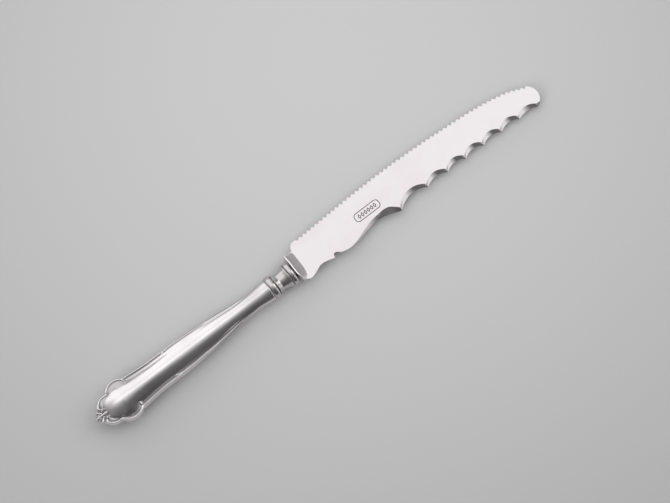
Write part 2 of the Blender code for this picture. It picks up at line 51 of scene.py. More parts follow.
# Handle: outline
HANDLE_LENGTH = 82.4
BUTT = (0.0, 0.0)
LEAF_NOTCH = (1.3, 0.8)
REAR_LOBE = (2.5, 2.4)
LOBE_NOTCH = (8.6, 6.05)
SHOULDER = (17.5, 7.25)
LEAF_RISE = 0.35
SIDE_LEAF_RISE = 0.6
REAR_LOBE_RISE = 1.35
HEAD_RISE = 1.95
OUTLINE_ARCS = (  # start, end, bulge, number of points
    (BUTT, LEAF_NOTCH, LEAF_RISE, 10),
    (LEAF_NOTCH, REAR_LOBE, SIDE_LEAF_RISE, 16),
    (REAR_LOBE, LOBE_NOTCH, REAR_LOBE_RISE, 44),
    (LOBE_NOTCH, SHOULDER, HEAD_RISE, 56),
)
SIDE = (
    SHOULDER, (30.0, 6.32), (38.0, 6.32), (50.0, 5.8), (57.0, 5.23), (73.5, 3.8),
    (HANDLE_LENGTH, 4.6),
)
SIDE_STATIONS = (  # start, end, number of points
    (SHOULDER[0], 20.0, 20), (20.0, 34.0, 24), (34.0, 37.5, 22), (37.5, HANDLE_LENGTH, 80),
)
BEND = 0.15

# Handle: heights over the seam, border and pillow
HEAD_X = 13.2
HEAD_CROWN = 5.9
CROWN = (
    (HEAD_X, HEAD_CROWN), (25.0, 5.1), (38.0, 4.65), (57.0, 3.85), (73.5, 3.15), (77.0, 3.25),
    (HANDLE_LENGTH, 3.8),
)
GROOVE = ((HEAD_X, 2.15), (38.0, 2.1), (57.0, 1.75), (73.5, 1.45), (HANDLE_LENGTH, 1.45))
BORDER = (
    (HEAD_X, 1.9), (30.0, 1.9), (50.0, 1.85), (57.0, 1.6), (66.0, 1.15), (73.5, 0.85),
    (HANDLE_LENGTH, 0.85),
)
BORDER_SLOPE = ((36.0, 0.0), (45.0, 0.22), (57.0, 0.45), (66.0, 0.55), (HANDLE_LENGTH, 0.55))
BORDER_FADE_START = 62.0
BORDER_FADE_END = 77.0
NOSE = (  # degrees from the butt, reach of the pillow's foot
    (0.0, 8.35), (17.2, 8.3), (28.5, 7.9), (40.0, 7.3), (52.8, 6.75), (71.0, 6.6), (90.0, 6.6),
)
PILLOW_NOSE = 8.35
PILLOW_SIDE = (
    (HEAD_X, 6.6), (18.0, 5.55), (24.0, 4.85), (38.0, 4.45), (57.0, 3.7), (73.5, 2.9),
    (HANDLE_LENGTH, 3.6),
)
PILLOW_BLEND = 0.6
RIDGE = ((HEAD_X, 0.3), (25.0, 0.3), (45.0, 0.2), (HANDLE_LENGTH, 0.2))
RIDGE_ROUND = 0.1
FOOT_FILLET = 0.06
NECK_LEAN = ((BORDER_FADE_START, 1.2), (77.0, 1.2), (HANDLE_LENGTH, 1.28))
SPIGOT_HALF = 3.3
SPIGOT_CROWN = 2.9
SPIGOT_LENGTH = 1.8
SHEET = 0.55
MOUTH_STEP = 0.02
BORDER_STEPS = 26
PILLOW_STEPS = 26
INNER_STEPS = 12
SHELL_CREASE = math.radians(50)

# Handle: wall, threads and tarnish of the border, with a darker side wall and field
WALL = (  # inset from the outline, share of the groove's height
    (0.06, 0.0), (0.0, 0.03), (0.0, 0.25), (0.0, 0.42), (0.04, 0.52), (0.14, 0.64), (0.28, 0.78),
    (0.4, 0.91),
)
WALL_TOP = 0.5
THREAD_SINK = 0.08
THREAD_RADIUS = 0.27
THREAD_INSET = 0.7
THREAD_RISE = 0.32
PATH_PITCH = 0.12
STROKE_MARGIN = 1.0
LEDGE = 0.22
LEDGE_START = 1.4
LEDGE_SLOPE = 0.5
TARNISH_START = 0.82
TARNISH_FULL = 0.96
TARNISH_END = 1.4
TARNISH_FADE = 0.2
TARNISH_HEIGHT = 0.2
TARNISH_ALONG = (
    (HEAD_X, 0.75), (20.0, 0.9), (33.0, 0.95), (38.0, 0.7), (50.0, 0.45), (58.0, 0.25),
    (HANDLE_LENGTH, 0.2),
)
# How much darker the side wall is made along the handle
WALL_DARKENING = (
    (HEAD_X, 0.0), (38.0, 0.0), (50.0, 0.25), (60.0, 0.5), (72.0, 0.5), (HANDLE_LENGTH, 0.2),
)
# How much darker the field round the pillow is made, most near the head
FIELD_DARKENING = ((HEAD_X, 0.5), (17.0, 0.45), (25.0, 0.22), (33.0, 0.0), (HANDLE_LENGTH, 0.0))
FINIAL_END = 4.6
NECK_DULL = 0.18
SPIGOT_DULL = 0.6
FIELD_SIDE = 0.6
FIELD_NOSE = 0.85
FIELD_FADE = 0.13
LEAST_REACH = 0.01

# Ferrule: x from the handle's mouth, half-widths from the axis
FERRULE_LENGTH = 11.2
FERRULE_OVAL = 0.90
FERRULE_LEAN = 1.15
FERRULE_STEPS = 128
FERRULE_CREASE = math.radians(40)
FIT = 0.3
BEAD_POWER = 0.8
REAR_FACE_HALF = 4.05
REAR_BEAD = (0.1, 2.4, 4.15, 4.8, 16)  # start, length, foot, crest, steps
REAR_GROOVE = ((2.55, 3.95), (2.7, 3.9), (2.86, 4.0))
COVE = ((2.9, 4.35), (4.8, 3.5), (6.8, 3.9), (8.6, 4.85))
COVE_STEPS = 24
FRONT_GROOVE = ((8.66, 4.5), (8.8, 4.4), (8.9, 4.5))
FRONT_BEAD_CREST = 5.1
FRONT_BEAD = (8.94, 1.9, 4.6, FRONT_BEAD_CREST, 14)
FRONT_NECK = ((10.86, 3.7), (FERRULE_LENGTH, 3.65))
SLOT_HALF = (1.75, 1.2)
SOCKET_HALF = (3.6, 3.2)

# Blade: x from the bolster's ramp, where the plate begins
BOLSTER_X = HANDLE_LENGTH + FERRULE_LENGTH + FIT
BLADE_X = BOLSTER_X + 4.0
BLADE_LENGTH = 112.2
HALF_THICK = 0.6
EDGE_Y = 5.3
EDGE_DROP = 0.6
EDGE_END = (BLADE_LENGTH - 3.3, -6.35)
EDGE_CHAMFER = 0.06
EDGE_LAND = 0.02
HEEL = ((-2.9, -4.7), (-0.3, -6.3), (6.3, -4.4), (11.6, -5.6))
NICK = (HEEL[-1], (11.8, -4.9), (12.3, -4.4), (13.0, -4.45), (14.0, -4.9), (15.2, -5.5))
NICK_GRIND = 0.45
NICK_LEAN = 0.6
SWEEP = ((15.2, -5.5), (18.9, -6.1), (33.4, -3.72), (43.0, -6.45))
SWEEP_GRIND = (
    (18.9, 0.0), (24.0, 0.5), (29.0, 1.15), (34.0, 1.45), (37.0, 2.3), (39.5, 2.8), (43.0, 1.25),
)
FIRST_SCALLOP_WIDTH = 13.4
FIRST_SCALLOP_DEPTH = 2.4
SECOND_SCALLOP_WIDTH = 9.6
SCALLOP_PITCH = 8.6
SCALLOP_DEPTH = 1.5
LAST_SCALLOP_DEPTH = 1.05
GRIND = 1.65
GRIND_POWER = 0.6
CUSP_GRIND = 1.1
TIP_GRIND = 1.2
GRIND_ROWS = 5
HOLLOW_GRIND = 0.07
BREAK_DROP = 0.03
BREAK_INSET = 0.04
TIP_START_BACK = (BLADE_LENGTH - 2.3, 2.7)
BACK = ((2.2, 9.1), (45.0, 10.5), (85.0, 8.5), (101.0, 6.0), TIP_START_BACK)
BACK_STEPS = 4000
BACK_HOLLOW = -0.55
SAW_START = 3.6
TOOTH_PITCH = 2.0
TOOTH_DEPTH = 0.85
TOOTH = (  # share of the pitch, share of the depth
    (0.0, 0.0), (0.06, 0.02), (0.40, 0.84), (0.46, 0.97), (0.5, 1.0), (0.54, 0.97), (0.60, 0.84),
    (0.94, 0.02),
)
MITRE_LIMIT = 0.5
BLADE_CREASE = math.radians(28)

# Bolster and tang
BOLSTER_TOP = 6.6
BOLSTER_BOTTOM = 5.3
BOLSTER_CROWN = 3.8
BOLSTER_RIM = 0.5
BOLSTER_SETBACK = 1.2
SETBACK_START = 1.5
TOP_POWER = 9.0
BOTTOM_POWER = 2.3
BOLSTER_STEPS = 128
LEAST_RIM = 0.25
RIM_PROFILE = (  # x from the bolster's rear, drop from its crown
    (0.0, 0.15), (0.03, 0.07), (0.08, 0.02), (0.15, 0.0), (0.3, 0.0), (0.42, 0.03), (0.55, 0.10),
    (0.67, 0.19),
)
ROOT_SINK = 0.01
PLATE_LAP = 1.2
TANG_LENGTH = 58.0
TANG_LAP = 1.85
TANG_END_HALF = 1.0
TANG_HALF = 1.45
TANG_HALF_THICK = 0.9

# Engraved mark, painted shade on some grind faces, and the satin of the blade's faces
MARK_CENTRE = (130.1, 1.4)
MARK_FRAME = (11.2, 3.4, 1.3, 10)  # length, width, corner radius, corner steps
MARK_LINE = 0.28
MARK_DEPTH = 0.11
MARK_OVER = 0.1
MARK_REACH = (7, 3)
MARK_LEVELS = (0.01, 0.2)
LOZENGE = ((0.5, 0.0), (0.0, 0.78), (-0.5, 0.0), (0.0, -0.78))
LOZENGE_COUNT = 6
LOZENGE_PITCH = 1.45
# Painted shade: the engraving's dark colour laid on the grind faces of the sweep, the nick and the
# tip
SWEEP_PAINTED_SHADE = 0.55
SWEEP_SHADE_START = 31.0
SWEEP_SHADE_RUN = 0.5
NICK_PAINTED_SHADE = 0.7
TIP_PAINTED_SHADE = 0.65
GROUND_TURN = 0.2
STEEP_TURN = 0.95
RAMP_SATIN = 0.6
RAMP_END = 1.0
RAMP_TURN = (0.25, 0.95)
FACE_SATIN = 1.0
FACE_TURN = 0.99

ferrule_low, ferrule_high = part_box("ferrule")
SHIFT = Vector((
    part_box("handle_front_shell")[0][0],
    (ferrule_low[1] + ferrule_high[1]) / 2,
    (ferrule_low[2] + ferrule_high[2]) / 2,
))


def smooth(nodes, x):
    """Height at x of a curve through the nodes, level at every peak and hollow."""
    steps = [(b[1] - a[1]) / (b[0] - a[0]) for a, b in zip(nodes, nodes[1:])]
    rates = [2 * a * b / (a + b) if a * b > 0 else 0.0 for a, b in zip(steps, steps[1:])]
    rates = [steps[0]] + rates + [steps[-1]]
    i = 0
    while i < len(steps) - 1 and x > nodes[i + 1][0]:
        i += 1
    span = nodes[i + 1][0] - nodes[i][0]
    t = (x - nodes[i][0]) / span
    rise = t * t * (3 - 2 * t)
    lean = t * (1 - t) * ((1 - t) * rates[i] - t * rates[i + 1])
    return nodes[i][1] * (1 - rise) + nodes[i + 1][1] * rise + span * lean


def ease(t):
    """A soft step from 0 to 1."""
    t = min(max(t, 0.0), 1.0)
    return t * t * (3 - 2 * t)


def arc_circle(start, end, rise):
    """Circle of an arc that bulges by rise to the left: centre, radius, chord's way and left."""
    chord = Vector(end) - Vector(start)
    half = chord.length / 2
    radius = (half * half + rise * rise) / (2 * rise)
    along = chord.normalized()
    left = Vector((-along.y, along.x))
    centre = (Vector(start) + Vector(end)) / 2 + left * (rise - radius)
    return centre, radius, along, left


def arc(start, end, rise, count):
    """Points of that arc, from start to just before end."""
    centre, radius, along, left = arc_circle(start, end, rise)
    reach = math.asin((Vector(end) - Vector(start)).length / 2 / radius)
    turns = [reach * (2 * k / count - 1) for k in range(count)]
    return [tuple(centre + radius * (left * math.cos(a) + along * math.sin(a))) for a in turns]


def spread(start, end, count):
    """Even steps from start to just before end."""
    return [start + (end - start) * k / count for k in range(count)]


def walk(path):
    """Distance walked along a path at each of its points."""
    walked = [0.0]
    for a, b in zip(path, path[1:]):
        walked.append(walked[-1] + math.dist(a, b))
    return walked


def place(point):
    """A point of the knife's own frame, in the frame of the CAD."""
    return Vector(point) * MM + SHIFT


def new_object(name, shape):
    """An object with the mesh of a finished bmesh."""
    mesh = bpy.data.meshes.new(name)
    shape.to_mesh(mesh)
    shape.free()
    made = bpy.data.objects.new(name, mesh)
    bpy.context.scene.collection.objects.link(made)
    return made


def solid_object(name, shape):
    """The same for a closed shape, with its faces turned outward."""
    bmesh.ops.recalc_face_normals(shape, faces=shape.faces)
    return new_object(name, shape)


def add_piece(name, shape, node, material):
    """A finished bmesh becomes a piece that stands for a CAD node."""
    piece = solid_object(name, shape)
    piece.data.materials.append(material)
    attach(piece, "root")
    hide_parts(node)


def soften(shape, angle):
    """Smooth shading, broken at edges that turn by more than the angle."""
    for face in shape.faces:
        face.smooth = True
    for edge in shape.edges:
        edge.smooth = len(edge.link_faces) == 2 and edge.calc_face_angle(0.0) < angle


def skin(shape, rows):
    """Faces between each closed row of corners and the next."""
    for low, high in zip(rows, rows[1:]):
        for i in range(len(low)):
            shape.faces.new((low[i - 1], low[i], high[i], high[i - 1]))


# Materials

SILVER = (0.83, 0.80, 0.808)
DULL_SILVER = (0.60, 0.57, 0.575)
TARNISH = (0.15, 0.145, 0.15)
CLOUDED = 0.93
STEEL = (0.83, 0.802, 0.814)
STEEL_STAIN = (1.0, 0.965, 0.975)
ENGRAVING_AND_PAINTED_SHADE = (0.10, 0.095, 0.095)
CEMENT = (0.36, 0.33, 0.29)
CEMENT_DARK = 0.7
SILVER_ROUGH = (0.13, 0.18)
SILVER_CLOUD_ROUGH = 0.04
TARNISH_ROUGH = 0.18
STEEL_ROUGH = (0.16, 0.19)
STEEL_CLOUD_ROUGH = 0.03
ENGRAVING_ROUGH = 0.25
SATIN_ROUGH = 0.22
CEMENT_ROUGH = (0.85, 0.95)
SILVER_BUMP = (0.03, 0.00001)  # strength, distance
STEEL_BUMP = (0.006, 0.00001)
CEMENT_BUMP = (0.4, 0.0001)
EVEN = (1.0, 1.0, 1.0)


def new_material(name):
    material = bpy.data.materials.new(name)
    material.use_nodes = True
    tree = material.node_tree
    return material, tree, tree.nodes["Principled BSDF"]


def new_node(tree, kind, **settings):
    made = tree.nodes.new(kind)
    for key, value in settings.items():
        setattr(made, key, value)
    return made


def stretched(tree, scale, turn=0.0):
    """Object coordinates, turned about Z and stretched, for grain that runs one way."""
    where = new_node(tree, "ShaderNodeTexCoord")
    mapping = new_node(tree, "ShaderNodeMapping")
    mapping.inputs["Scale"].default_value = scale
    mapping.inputs["Rotation"].default_value = (0.0, 0.0, turn)
    tree.links.new(where.outputs["Object"], mapping.inputs["Vector"])
    return mapping.outputs["Vector"]


def noise(tree, vector, scale, detail=2.0, rough=0.5):
    made = new_node(tree, "ShaderNodeTexNoise")
    made.inputs["Scale"].default_value = scale
    made.inputs["Detail"].default_value = detail
    made.inputs["Roughness"].default_value = rough
    tree.links.new(vector, made.inputs["Vector"])
    return made.outputs["Fac"]


def ramp(tree, value, low, high, out_low=0.0, out_high=1.0):
    """The value, from low to high, turned softly into a value from out_low to out_high."""
    made = new_node(tree, "ShaderNodeMapRange", interpolation_type="SMOOTHSTEP")
    made.inputs["From Min"].default_value = low
    made.inputs["From Max"].default_value = high
    made.inputs["To Min"].default_value = out_low
    made.inputs["To Max"].default_value = out_high
    tree.links.new(value, made.inputs["Value"])
    return made.outputs["Result"]


def mix_colour(tree, share, first, second):
    """The first colour where the share is 0 and the second where it is 1."""
    made = new_node(tree, "ShaderNodeMix", data_type="RGBA")
    tree.links.new(share, made.inputs[0])
    for socket, value in ((made.inputs[6], first), (made.inputs[7], second)):
        if isinstance(value, tuple):
            socket.default_value = (*value, 1.0)
        else:
            tree.links.new(value, socket)
    return made.outputs[2]


def maths(tree, operation, *values):
    made = new_node(tree, "ShaderNodeMath", operation=operation)
    for socket, value in zip(made.inputs, values):
        if isinstance(value, (int, float)):
            socket.default_value = value
        else:
            tree.links.new(value, socket)
    return made.outputs[0]


def attribute(tree, name):
    return new_node(tree, "ShaderNodeAttribute", attribute_name=name).outputs["Fac"]


def bump(tree, shader, height, strength, distance):
    made = new_node(tree, "ShaderNodeBump")
    made.inputs["Strength"].default_value = strength
    made.inputs["Distance"].default_value = distance
    tree.links.new(height, made.inputs["Height"])
    tree.links.new(made.outputs["Normal"], shader.inputs["Normal"])


def silver_material(name, colour, tarnish):
    """Worn silver: fine wiping scratches, cloudy polish, tarnish in the hollows, darker wall and
    field.
    """
    material, tree, shader = new_material(name)
    shader.inputs["Metallic"].default_value = 1.0
    clouds = noise(tree, stretched(tree, EVEN), 90.0, 4.0, 0.6)
    hollow = attribute(tree, "hollow")
    # Tarnish in the hollows, and the darker side wall and field, mixed in by the hollow attribute
    darkened = maths(tree, "MULTIPLY", hollow, ramp(tree, clouds, 0.2, 0.8, 0.75, 1.0))
    dimmer = tuple(c * CLOUDED for c in colour)
    clean = mix_colour(tree, ramp(tree, clouds, 0.35, 0.7), colour, dimmer)
    tree.links.new(mix_colour(tree, darkened, clean, tarnish), shader.inputs["Base Color"])
    along = noise(tree, stretched(tree, (0.05, 1.0, 1.0), 0.06), 2600.0, 3.0)
    across = noise(tree, stretched(tree, (0.08, 1.0, 1.0), -0.5), 1900.0, 3.0)
    marks = maths(tree, "ADD", along, across)
    scratched = ramp(tree, marks, 0.8, 1.2, *SILVER_ROUGH)
    clouded = ramp(tree, clouds, 0.3, 0.8, 0.0, SILVER_CLOUD_ROUGH)
    rough = maths(tree, "ADD", scratched, clouded)
    rough = maths(tree, "ADD", rough, maths(tree, "MULTIPLY", hollow, TARNISH_ROUGH))
    tree.links.new(rough, shader.inputs["Roughness"])
    bump(tree, shader, marks, *SILVER_BUMP)
    return material


def steel_material(name, colour):
    """Polished stainless steel: fine lines across the blade, faint stains, dark engraving and
    painted shade.
    """
    material, tree, shader = new_material(name)
    shader.inputs["Metallic"].default_value = 1.0
    clouds = noise(tree, stretched(tree, (1.0, 1.6, 1.0)), 70.0, 4.0, 0.55)
    warm = tuple(c * stain for c, stain in zip(colour, STEEL_STAIN))
    plain = mix_colour(tree, ramp(tree, clouds, 0.4, 0.65), colour, warm)
    engraving_and_painted_shade = attribute(tree, "engraving_and_painted_shade")
    # One dark colour for the engraving and for the painted shade on some grind faces
    tree.links.new(mix_colour(tree, engraving_and_painted_shade, plain, ENGRAVING_AND_PAINTED_SHADE), shader.inputs["Base Color"])
    lines = noise(tree, stretched(tree, (1.0, 0.03, 1.0), 0.03), 3200.0, 3.0)
    brushed = ramp(tree, lines, 0.35, 0.65, *STEEL_ROUGH)
    clouded = ramp(tree, clouds, 0.3, 0.8, 0.0, STEEL_CLOUD_ROUGH)
    rough = maths(tree, "ADD", brushed, clouded)
    rough = maths(tree, "ADD", rough, maths(tree, "MULTIPLY", engraving_and_painted_shade, ENGRAVING_ROUGH))
    satin = maths(tree, "MULTIPLY", attribute(tree, "satin"), SATIN_ROUGH)
    tree.links.new(maths(tree, "ADD", rough, satin), shader.inputs["Roughness"])
    bump(tree, shader, lines, *STEEL_BUMP)
    return material


def cement_material(name, colour):
    """Grainy filler cement."""
    material, tree, shader = new_material(name)
    grain = noise(tree, stretched(tree, EVEN), 1500.0, 4.0, 0.6)
    dark = tuple(c * CEMENT_DARK for c in colour)
    tree.links.new(mix_colour(tree, grain, colour, dark), shader.inputs["Base Color"])
    tree.links.new(ramp(tree, grain, 0.3, 0.7, *CEMENT_ROUGH), shader.inputs["Roughness"])
    bump(tree, shader, grain, *CEMENT_BUMP)
    return material


handle_silver = silver_material("worn_silver", SILVER, TARNISH)
ferrule_silver = silver_material("worn_silver_ferrule", DULL_SILVER, TARNISH)
blade_steel = steel_material("polished_steel", STEEL)
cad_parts["cement_core"].data.materials.clear()
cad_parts["cement_core"].data.materials.append(cement_material("cement", CEMENT))


# Handle shells

def handle_outline():
    """Half of the handle in plan, from the butt to the mouth."""
    points = []
    for step in OUTLINE_ARCS:
        points += arc(*step)
    stations = []
    for step in SIDE_STATIONS:
        stations += spread(*step)
    return points + [(x, smooth(SIDE, x)) for x in stations + [HANDLE_LENGTH]]


def pillow_foot(point):
    """Where the pillow meets the groove, inward of a point of the outline, and its top there."""
    x, y = point
    if x > HEAD_X:
        return Vector((x, y - smooth(BORDER, x))), Vector((x, 0.0))
    top = Vector((HEAD_X, 0.0))
    away = (Vector(point) - top).normalized()
    turn = math.degrees(math.atan2(away.y, -away.x))
    return top + away * smooth(NOSE, turn), top


def pillow_point(point, share, foot_reach, trim):
    """A point at a share of the way from the pillow's top to its foot, and its height's share."""
    foot, top = pillow_foot(point)
    away = (foot - top).normalized()
    if point[0] > HEAD_X:
        wide = smooth(PILLOW_SIDE, point[0])
        even = wide
    else:
        wide = PILLOW_SIDE[0][1]
        even = 1 / math.hypot(away.x / PILLOW_NOSE, away.y / wide)
    even -= trim
    reach = even + (foot_reach - even) * ease((share - PILLOW_BLEND) / (1 - PILLOW_BLEND))
    plan = top + away * reach * share
    fall = math.hypot(plan.y / wide, RIDGE_ROUND) - RIDGE_ROUND
    level = (1 - share * share) * (1 - smooth(RIDGE, max(point[0], HEAD_X)) * fall)
    return plan, level * level / (level + FOOT_FILLET) * (1 + FOOT_FILLET)


def within_arc(start, end, rise, depth, count):
    """Points of an arc at a depth inside one of the outline's arcs."""
    centre, radius = arc_circle(start, end, rise)[:2]
    ends = arc(start, end, rise, count) + [end]
    return [tuple(centre + (Vector(p) - centre) * (1 - depth / radius)) for p in ends]


def along_side(start, end, depth, count):
    """Points at a depth inside the handle's side."""
    return [(x, smooth(SIDE, x) - depth) for x in spread(start, end, count) + [end]]


# Strokes raised on the border: points, radius at the start and end, rise over the thread's foot
LOBE_ARC = within_arc(REAR_LOBE, LOBE_NOTCH, REAR_LOBE_RISE, THREAD_INSET, 16)
HEAD_ARC = within_arc(LOBE_NOTCH, SHOULDER, HEAD_RISE, THREAD_INSET, 18)
LOBE_THREAD = [(3.9, 2.3), (3.5, 2.9)] + LOBE_ARC[4:]
HEAD_THREAD = HEAD_ARC[1:-1] + [(17.5, 6.1), (17.6, 5.4)]
FIRST_THREAD = [(18.15, 6.6), (18.8, 6.3)] + along_side(19.4, 35.6, THREAD_INSET, 40)
SECOND_START = [(34.7, 4.85), (35.6, 5.2), (36.6, 5.45)]
SECOND_THREAD = SECOND_START + along_side(37.4, 54.0, THREAD_INSET, 30)
NECK_THREAD = along_side(53.0, 72.0, THREAD_INSET, 30)
STROKES = (
    (LOBE_THREAD, 0.34, 0.30, THREAD_RISE),
    (HEAD_THREAD, 0.30, 0.34, THREAD_RISE),
    (FIRST_THREAD, 0.25, THREAD_RADIUS, THREAD_RISE),
    (SECOND_THREAD, THREAD_RADIUS, 0.22, THREAD_RISE),
    (NECK_THREAD, 0.25, 0.16, 0.19),
    ([(17.6, 5.5), (17.7, 5.1)], 0.5, 0.65, 1.2),
    ([(36.2, 6.0), (36.7, 5.2)], 0.22, 0.25, 0.5),
    ([(0.5, 0.0), (2.2, 0.0), (5.0, 0.0)], 0.45, 0.58, 1.1),
    ([(3.5, 0.85), (2.8, 1.3), (2.1, 2.0)], 0.34, 0.4, 0.5),
    ([(2.2, 0.75), (1.45, 0.85)], 0.3, 0.25, 0.5),
    ([(4.33, 1.75), (4.37, 1.75)], 0.6, 0.6, 1.3),
)


def finer(points):
    """The same path, curved through its points."""
    path = [Vector(p) for p in points]
    ends = [path[0] * 2 - path[1]] + path + [path[-1] * 2 - path[-2]]
    made = []
    for a, b, c, d in zip(ends, ends[1:], ends[2:], ends[3:]):
        count = max(int((c - b).length / PATH_PITCH), 1)
        for k in range(count):
            t = k / count
            made.append(
                0.5 * ((2 * b) + (c - a) * t + (2 * a - 5 * b + 4 * c - d) * t * t
                       + (3 * b - a - 3 * c + d) * t * t * t)
            )
    return np.array(made + [path[-1]])


def stroke_heights(plan):
    """Height of the border's relief over its groove at each plan point."""
    height = np.zeros(len(plan))
    for points, first, last, rise in STROKES:
        path = finer(points)
        low = path.min(axis=0) - STROKE_MARGIN
        high = path.max(axis=0) + STROKE_MARGIN
        near = np.where(np.all((plan > low) & (plan < high), axis=1))[0]
        if not len(near):
            continue
        gap = np.linalg.norm(plan[near][:, None, :] - path[None, :, :], axis=2)
        closest = gap.argmin(axis=1)
        radius = first + (last - first) * closest / (len(path) - 1)
        share = np.clip(1 - (gap.min(axis=1) / radius) ** 2, 0.0, 1.0)
        raised = np.where(share > 0, rise * np.sqrt(share) - THREAD_SINK, 0.0)
        height[near] = np.maximum(height[near], raised)
    return height


def field_share(spot):
    """How far a point lies out on the plain field around the pillow, from 0 to 1."""
    if spot.x > HEAD_X:
        return ease((spot.y / smooth(PILLOW_SIDE, spot.x) - FIELD_SIDE) / FIELD_FADE)
    behind = HEAD_X - spot.x
    out = math.hypot(behind / PILLOW_NOSE, spot.y / PILLOW_SIDE[0][1])
    reach = max(math.hypot(behind, spot.y), LEAST_REACH)
    start = FIELD_SIDE + (FIELD_NOSE - FIELD_SIDE) * behind / reach
    return ease((out - start) / FIELD_FADE)


def oval_rib(x, half, crown, walked, lean=1.0):
    """A quarter of an oval, with a point for each distance walked."""
    turns = [math.pi / 2 * step / walked[-1] for step in walked]
    return [(x, half * max(math.cos(a), 0.0) ** lean, crown * math.sin(a) ** lean) for a in turns]


def border_share(x):
    """1 where the handle has its border, fading to 0 where the neck is a plain oval."""
    return 1 - ease((x - BORDER_FADE_START) / (BORDER_FADE_END - BORDER_FADE_START))


def blend(plain, rib, share):
    return [tuple(Vector(p).lerp(Vector(r), share)) for p, r in zip(plain, rib)]


def relief_plan(outline):
    """The border and the pillow in plan, rib by rib, and each point's share of the pillow."""
    plans, shares = [], []
    for point in outline:
        foot, top = pillow_foot(point)
        edge = Vector(point)
        start = edge + (foot - edge).normalized() * WALL_TOP
        plan = [start.lerp(foot, k / BORDER_STEPS) for k in range(BORDER_STEPS + 1)]
        levels = [0.0] * len(plan)
        for k in range(1, PILLOW_STEPS + 1):
            turn = math.pi / 2 * k / PILLOW_STEPS
            spot, level = pillow_point(point, math.cos(turn), (foot - top).length, 0.0)
            plan.append(spot)
            levels.append(level)
        plans.append(plan)
        shares.append(levels)
    return plans, shares


def relief_darkness(spot, depth, stroke, rise, plain):
    """How dark a point lies: by its depth and height, and near the butt by its height alone."""
    along = max(spot.x, HEAD_X)
    dark = smooth(TARNISH_ALONG, along)
    # The field round the pillow is made darker near the head
    dull = smooth(FIELD_DARKENING, along) * field_share(spot)
    dull += (dark - dull) * (1.0 - ease((depth - TARNISH_END) / TARNISH_FADE))
    dull *= (
        ease((depth - TARNISH_START) / (TARNISH_FULL - TARNISH_START))
        * (1.0 - ease(stroke / TARNISH_HEIGHT))
    )
    carved = 1.0 - ease(rise / TARNISH_HEIGHT)
    return carved + (dull - carved) * plain


def outer_rib(point, spots, strokes, levels):
    """Seam, wall, relief and pillow inward of a point of the outline, and how dark each is made."""
    edge = Vector(point)
    foot = pillow_foot(point)[0]
    inward = (foot - edge).normalized()
    border = (foot - edge).length
    along = max(point[0], HEAD_X)
    crown = smooth(CROWN, along)
    groove = smooth(GROOVE, along)
    slope = smooth(BORDER_SLOPE, max(point[0], BORDER_SLOPE[0][0]))
    rib, hollow = [], []
    for depth, height in WALL:
        spot = edge + inward * depth
        rib.append((spot.x, spot.y, height * (groove - slope * (border - WALL_TOP))))
        # The side wall is made darker along the neck
        hollow.append(smooth(WALL_DARKENING, along))
    for spot, stroke, level in zip(spots, strokes, levels):
        depth = (spot - edge).length
        plain = ease(spot.x - FINIAL_END)
        ledge = LEDGE * min(max((depth - LEDGE_START) / LEDGE_SLOPE, 0.0), 1.0) * plain
        rise = max(stroke, ledge + (crown - groove - ledge) * level)
        rib.append((spot.x, spot.y, groove + rise - slope * max(border - depth, 0.0)))
        hollow.append(relief_darkness(spot, depth, stroke, rise, plain))
    share = border_share(point[0])
    if share < 1:
        oval = oval_rib(point[0], point[1], crown, walk(rib), smooth(NECK_LEAN, point[0]))
        rib = blend(oval, rib, share)
        hollow = [h * share + NECK_DULL * (1 - share) for h in hollow]
    return rib, hollow


def outer_ribs():
    """The outside of a shell, rib by rib, down to the end of its spigot."""
    outline = handle_outline()
    plans, shares = relief_plan(outline)
    flat = np.array([[p.x, p.y] for plan in plans for p in plan])
    heights = stroke_heights(flat).reshape(len(plans), -1)
    ribs, hollows = [], []
    for row in zip(outline, plans, heights, shares):
        rib, hollow = outer_rib(*row)
        ribs.append(rib)
        hollows.append(hollow)
    walked = walk(ribs[-1])
    for x in (HANDLE_LENGTH, HANDLE_LENGTH + SPIGOT_LENGTH):
        ribs.append(oval_rib(x, SPIGOT_HALF, SPIGOT_CROWN, walked))
        hollows.append([SPIGOT_DULL] * len(walked))
    return ribs, hollows


def inner_ribs():
    """The cavity inside the sheet, from the crown down to the seam, one rib for each outer one."""
    ribs = []
    outline = handle_outline()
    for point in outline + [outline[-1]] * 2:
        foot, top = pillow_foot(point)
        crown = smooth(CROWN, max(point[0], HEAD_X)) - SHEET
        rib = []
        for k in range(INNER_STEPS, -1, -1):
            turn = math.pi / 2 * k / INNER_STEPS
            plan, level = pillow_point(point, math.cos(turn), (foot - top).length - SHEET, SHEET)
            rib.append((plan.x, plan.y, crown * level))
        share = border_share(point[0])
        if share < 1:
            walked = walk(rib[::-1])
            oval = oval_rib(point[0], SPIGOT_HALF - SHEET, SPIGOT_CROWN - SHEET, walked)[::-1]
            rib = blend(oval, rib, share)
        ribs.append(rib)
    ribs[-1] = [(HANDLE_LENGTH + SPIGOT_LENGTH, y, z) for x, y, z in ribs[-1]]
    ribs[-2] = [(HANDLE_LENGTH + MOUTH_STEP, y, z) for x, y, z in ribs[-2]]
    return ribs


